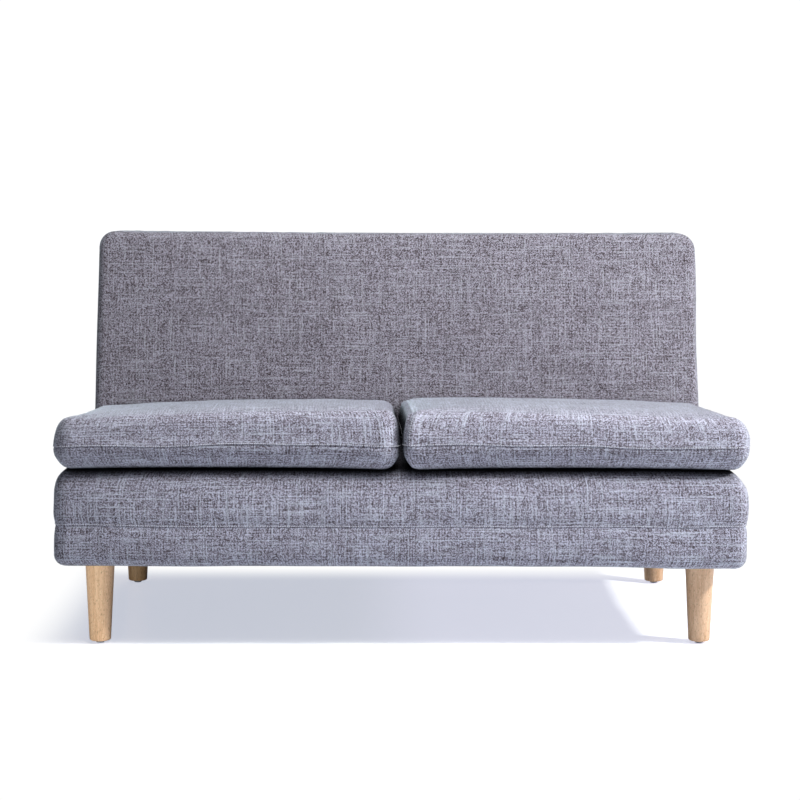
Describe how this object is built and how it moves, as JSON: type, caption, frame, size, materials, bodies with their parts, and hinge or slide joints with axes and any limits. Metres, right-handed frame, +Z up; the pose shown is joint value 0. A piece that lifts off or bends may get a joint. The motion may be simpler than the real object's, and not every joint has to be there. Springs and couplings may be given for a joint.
{
  "type": "armless sofa",
  "caption": "Armless upholstered sofa: padded base on turned tapered wooden legs, wedge-shaped back and loose zipped seat cushions that lift off.",
  "frame": {"origin": "on the floor, under the middle of the bounding box", "axes": "+X across the seat to the right as seen from the front, +Y to the rear, +Z up"},
  "size_m": [1.25, 0.7295, 0.7447],
  "materials": {
    "oak": "satin",
    "glide": "satin",
    "steel": "satin",
    "fibre": "matte",
    "foam": "matte",
    "lining": "matte",
    "zip_tape": "matte",
    "cloth": "matte",
    "plywood": "matte"
  },
  "bodies": {
    "sofa": {"leg_front_left": "oak", "leg_front_right": "oak", "leg_rear_left": "oak", "leg_rear_right": "oak", "glide_front_left": "glide", "glide_front_right": "glide", "glide_rear_left": "glide", "glide_rear_right": "glide", "leg_bolts": "steel", "leg_tee_nuts": "steel", "corner_block_front_left": "plywood", "corner_block_front_right": "plywood", "corner_block_rear_left": "plywood", "corner_block_rear_right": "plywood", "front_rail": "plywood", "rear_rail": "plywood", "left_cheek": "plywood", "right_cheek": "plywood", "mid_rail": "plywood", "spring_ledger": "plywood", "centre_rail": "plywood", "rear_deck_board": "plywood", "frame_screws": "steel", "seat_springs": "steel", "spring_clips": "steel", "spring_felt": "fibre", "seat_foam": "foam", "rear_pad": "foam", "frame_pad": "foam", "base_cover_top": "cloth", "base_cover_band": "cloth", "dust_cover": "lining", "back_left_post": "plywood", "back_right_post": "plywood", "back_centre_stile": "plywood", "back_top_rail": "plywood", "back_bottom_rail": "plywood", "back_webbing": "lining", "back_board": "plywood", "back_foam": "foam", "back_cover_front": "cloth", "back_cover_rear": "cloth", "back_bolts": "steel", "back_washers": "steel", "back_tee_nuts": "steel", "back_screws": "steel"},
    "left_cushion": {"left_cushion_top": "cloth", "left_cushion_bottom": "cloth", "left_cushion_core": "foam", "left_cushion_wrap": "fibre", "left_zip": "zip_tape"},
    "left_zip_slider": {"left_zip_slider": "steel"},
    "right_cushion": {"right_cushion_top": "cloth", "right_cushion_bottom": "cloth", "right_cushion_core": "foam", "right_cushion_wrap": "fibre", "right_zip": "zip_tape"},
    "right_zip_slider": {"right_zip_slider": "steel"}
  },
  "joints": [
    {"name": "left_cushion_lift", "type": "slide", "parent": "sofa", "child": "left_cushion", "axis": [0, 0, 1], "range_m": [0, 0.45]},
    {"name": "right_cushion_lift", "type": "slide", "parent": "sofa", "child": "right_cushion", "axis": [0, 0, 1], "range_m": [0, 0.45]},
    {"name": "left_zip_run", "type": "slide", "parent": "left_cushion", "child": "left_zip_slider", "axis": [1, 0, 0], "range_m": [0, 0.4484]},
    {"name": "right_zip_run", "type": "slide", "parent": "right_cushion", "child": "right_zip_slider", "axis": [1, 0, 0], "range_m": [0, 0.4484]}
  ]
}
